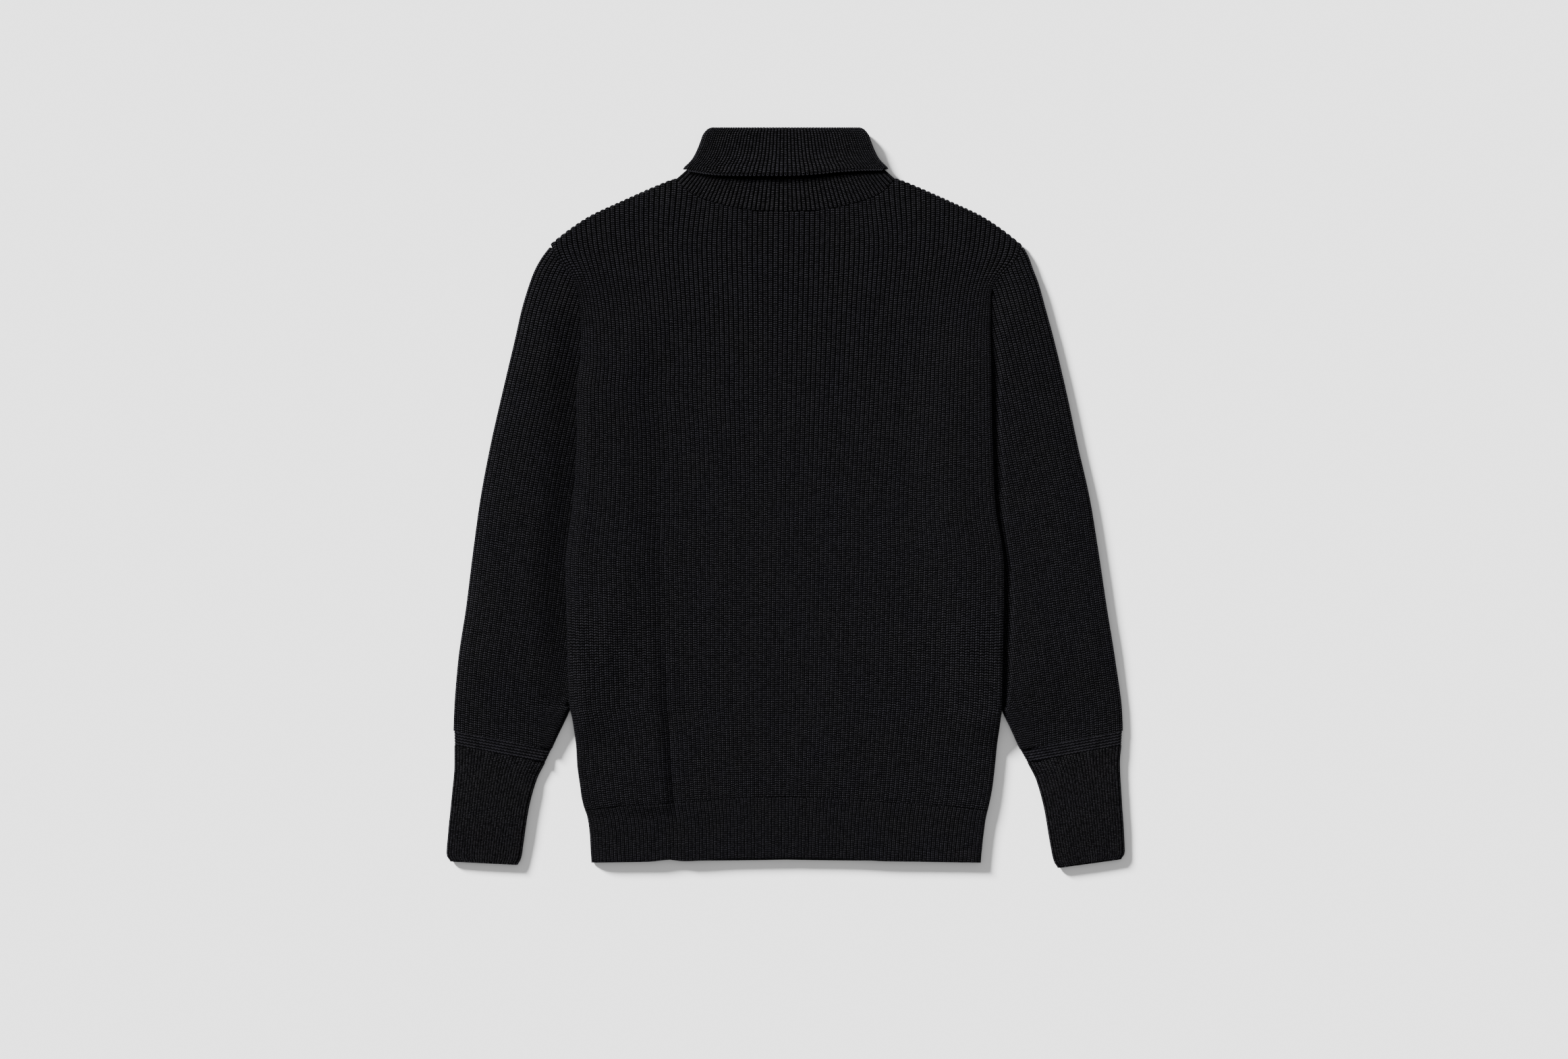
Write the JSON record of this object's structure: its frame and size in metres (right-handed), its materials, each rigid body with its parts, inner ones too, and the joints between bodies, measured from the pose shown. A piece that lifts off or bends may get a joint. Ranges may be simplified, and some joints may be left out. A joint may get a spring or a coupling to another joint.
{
  "type": "turtleneck sweater",
  "caption": "Ribbed turtleneck sweater lying flat and face up, with a turned-down collar, set-in sleeves laid beside the body, purl bands above ribbed cuffs and a ribbed hem.",
  "frame": {"origin": "the middle of the garment's outline, on the underside of the back, which is the plane that it rests on", "axes": "+Z out of the surface that the garment lies on, face up; +Y up the garment, from hem to collar; +X across it, to the right for someone who looks at its front"},
  "size_m": [0.7174, 0.7799, 0.0136],
  "materials": {
    "front_yarn": "black knitted wool, matt",
    "back_yarn": "black knitted wool, matt",
    "hem_front_yarn": "black knitted wool, matt",
    "hem_back_yarn": "black knitted wool, matt",
    "sleeve_left_yarn": "black knitted wool, matt",
    "sleeve_right_yarn": "black knitted wool, matt",
    "band_left_yarn": "black knitted wool, matt",
    "band_right_yarn": "black knitted wool, matt",
    "cuff_left_yarn": "black knitted wool, matt",
    "cuff_right_yarn": "black knitted wool, matt",
    "collar_yarn": "black knitted wool, matt"
  },
  "bodies": {
    "root": {"front": "front_yarn", "back": "back_yarn", "hem_front": "hem_front_yarn", "hem_back": "hem_back_yarn", "sleeve_left": "sleeve_left_yarn", "sleeve_right": "sleeve_right_yarn", "band_left": "band_left_yarn", "band_right": "band_right_yarn", "cuff_left": "cuff_left_yarn", "cuff_right": "cuff_right_yarn", "collar": "collar_yarn"}
  },
  "joints": []
}
